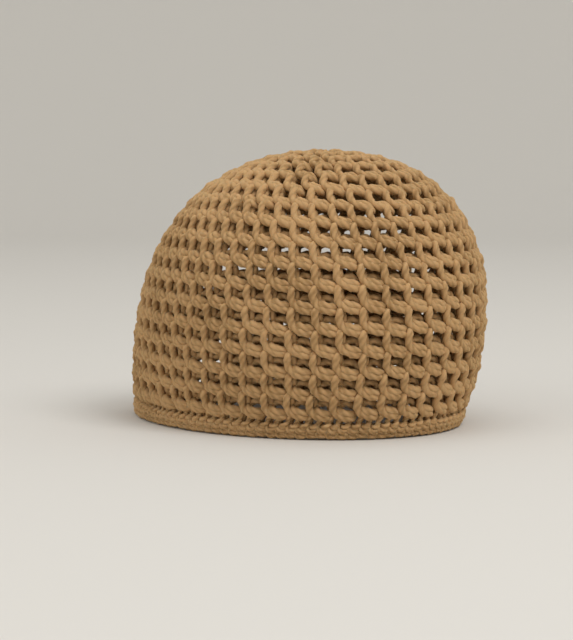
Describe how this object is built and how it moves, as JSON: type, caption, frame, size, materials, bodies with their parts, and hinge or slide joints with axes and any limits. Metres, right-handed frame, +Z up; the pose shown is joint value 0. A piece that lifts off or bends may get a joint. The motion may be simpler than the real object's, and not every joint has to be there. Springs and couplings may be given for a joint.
{
  "type": "crocheted mesh hat",
  "caption": "Close-fitting rounded crochet cap with an open net crown on a dense ridged rim band, hollow for a head and flat at the rim.",
  "frame": {"origin": "on the surface that the rim rests on, under the middle of the hat's whole length and width", "axes": "+Z up from the rim to the crown, -Y towards the front of the hat, -X towards the wearer's right"},
  "size_m": [0.1744, 0.2162, 0.143],
  "materials": {
    "net_yarn": "camel-brown plied wool-blend yarn, crocheted as an open net, soft and matt",
    "band_yarn": "the same camel-brown yarn worked densely in ridged rounds, soft and matt"
  },
  "bodies": {
    "root": {"crown": "net_yarn", "rim_band": "band_yarn"}
  },
  "joints": []
}
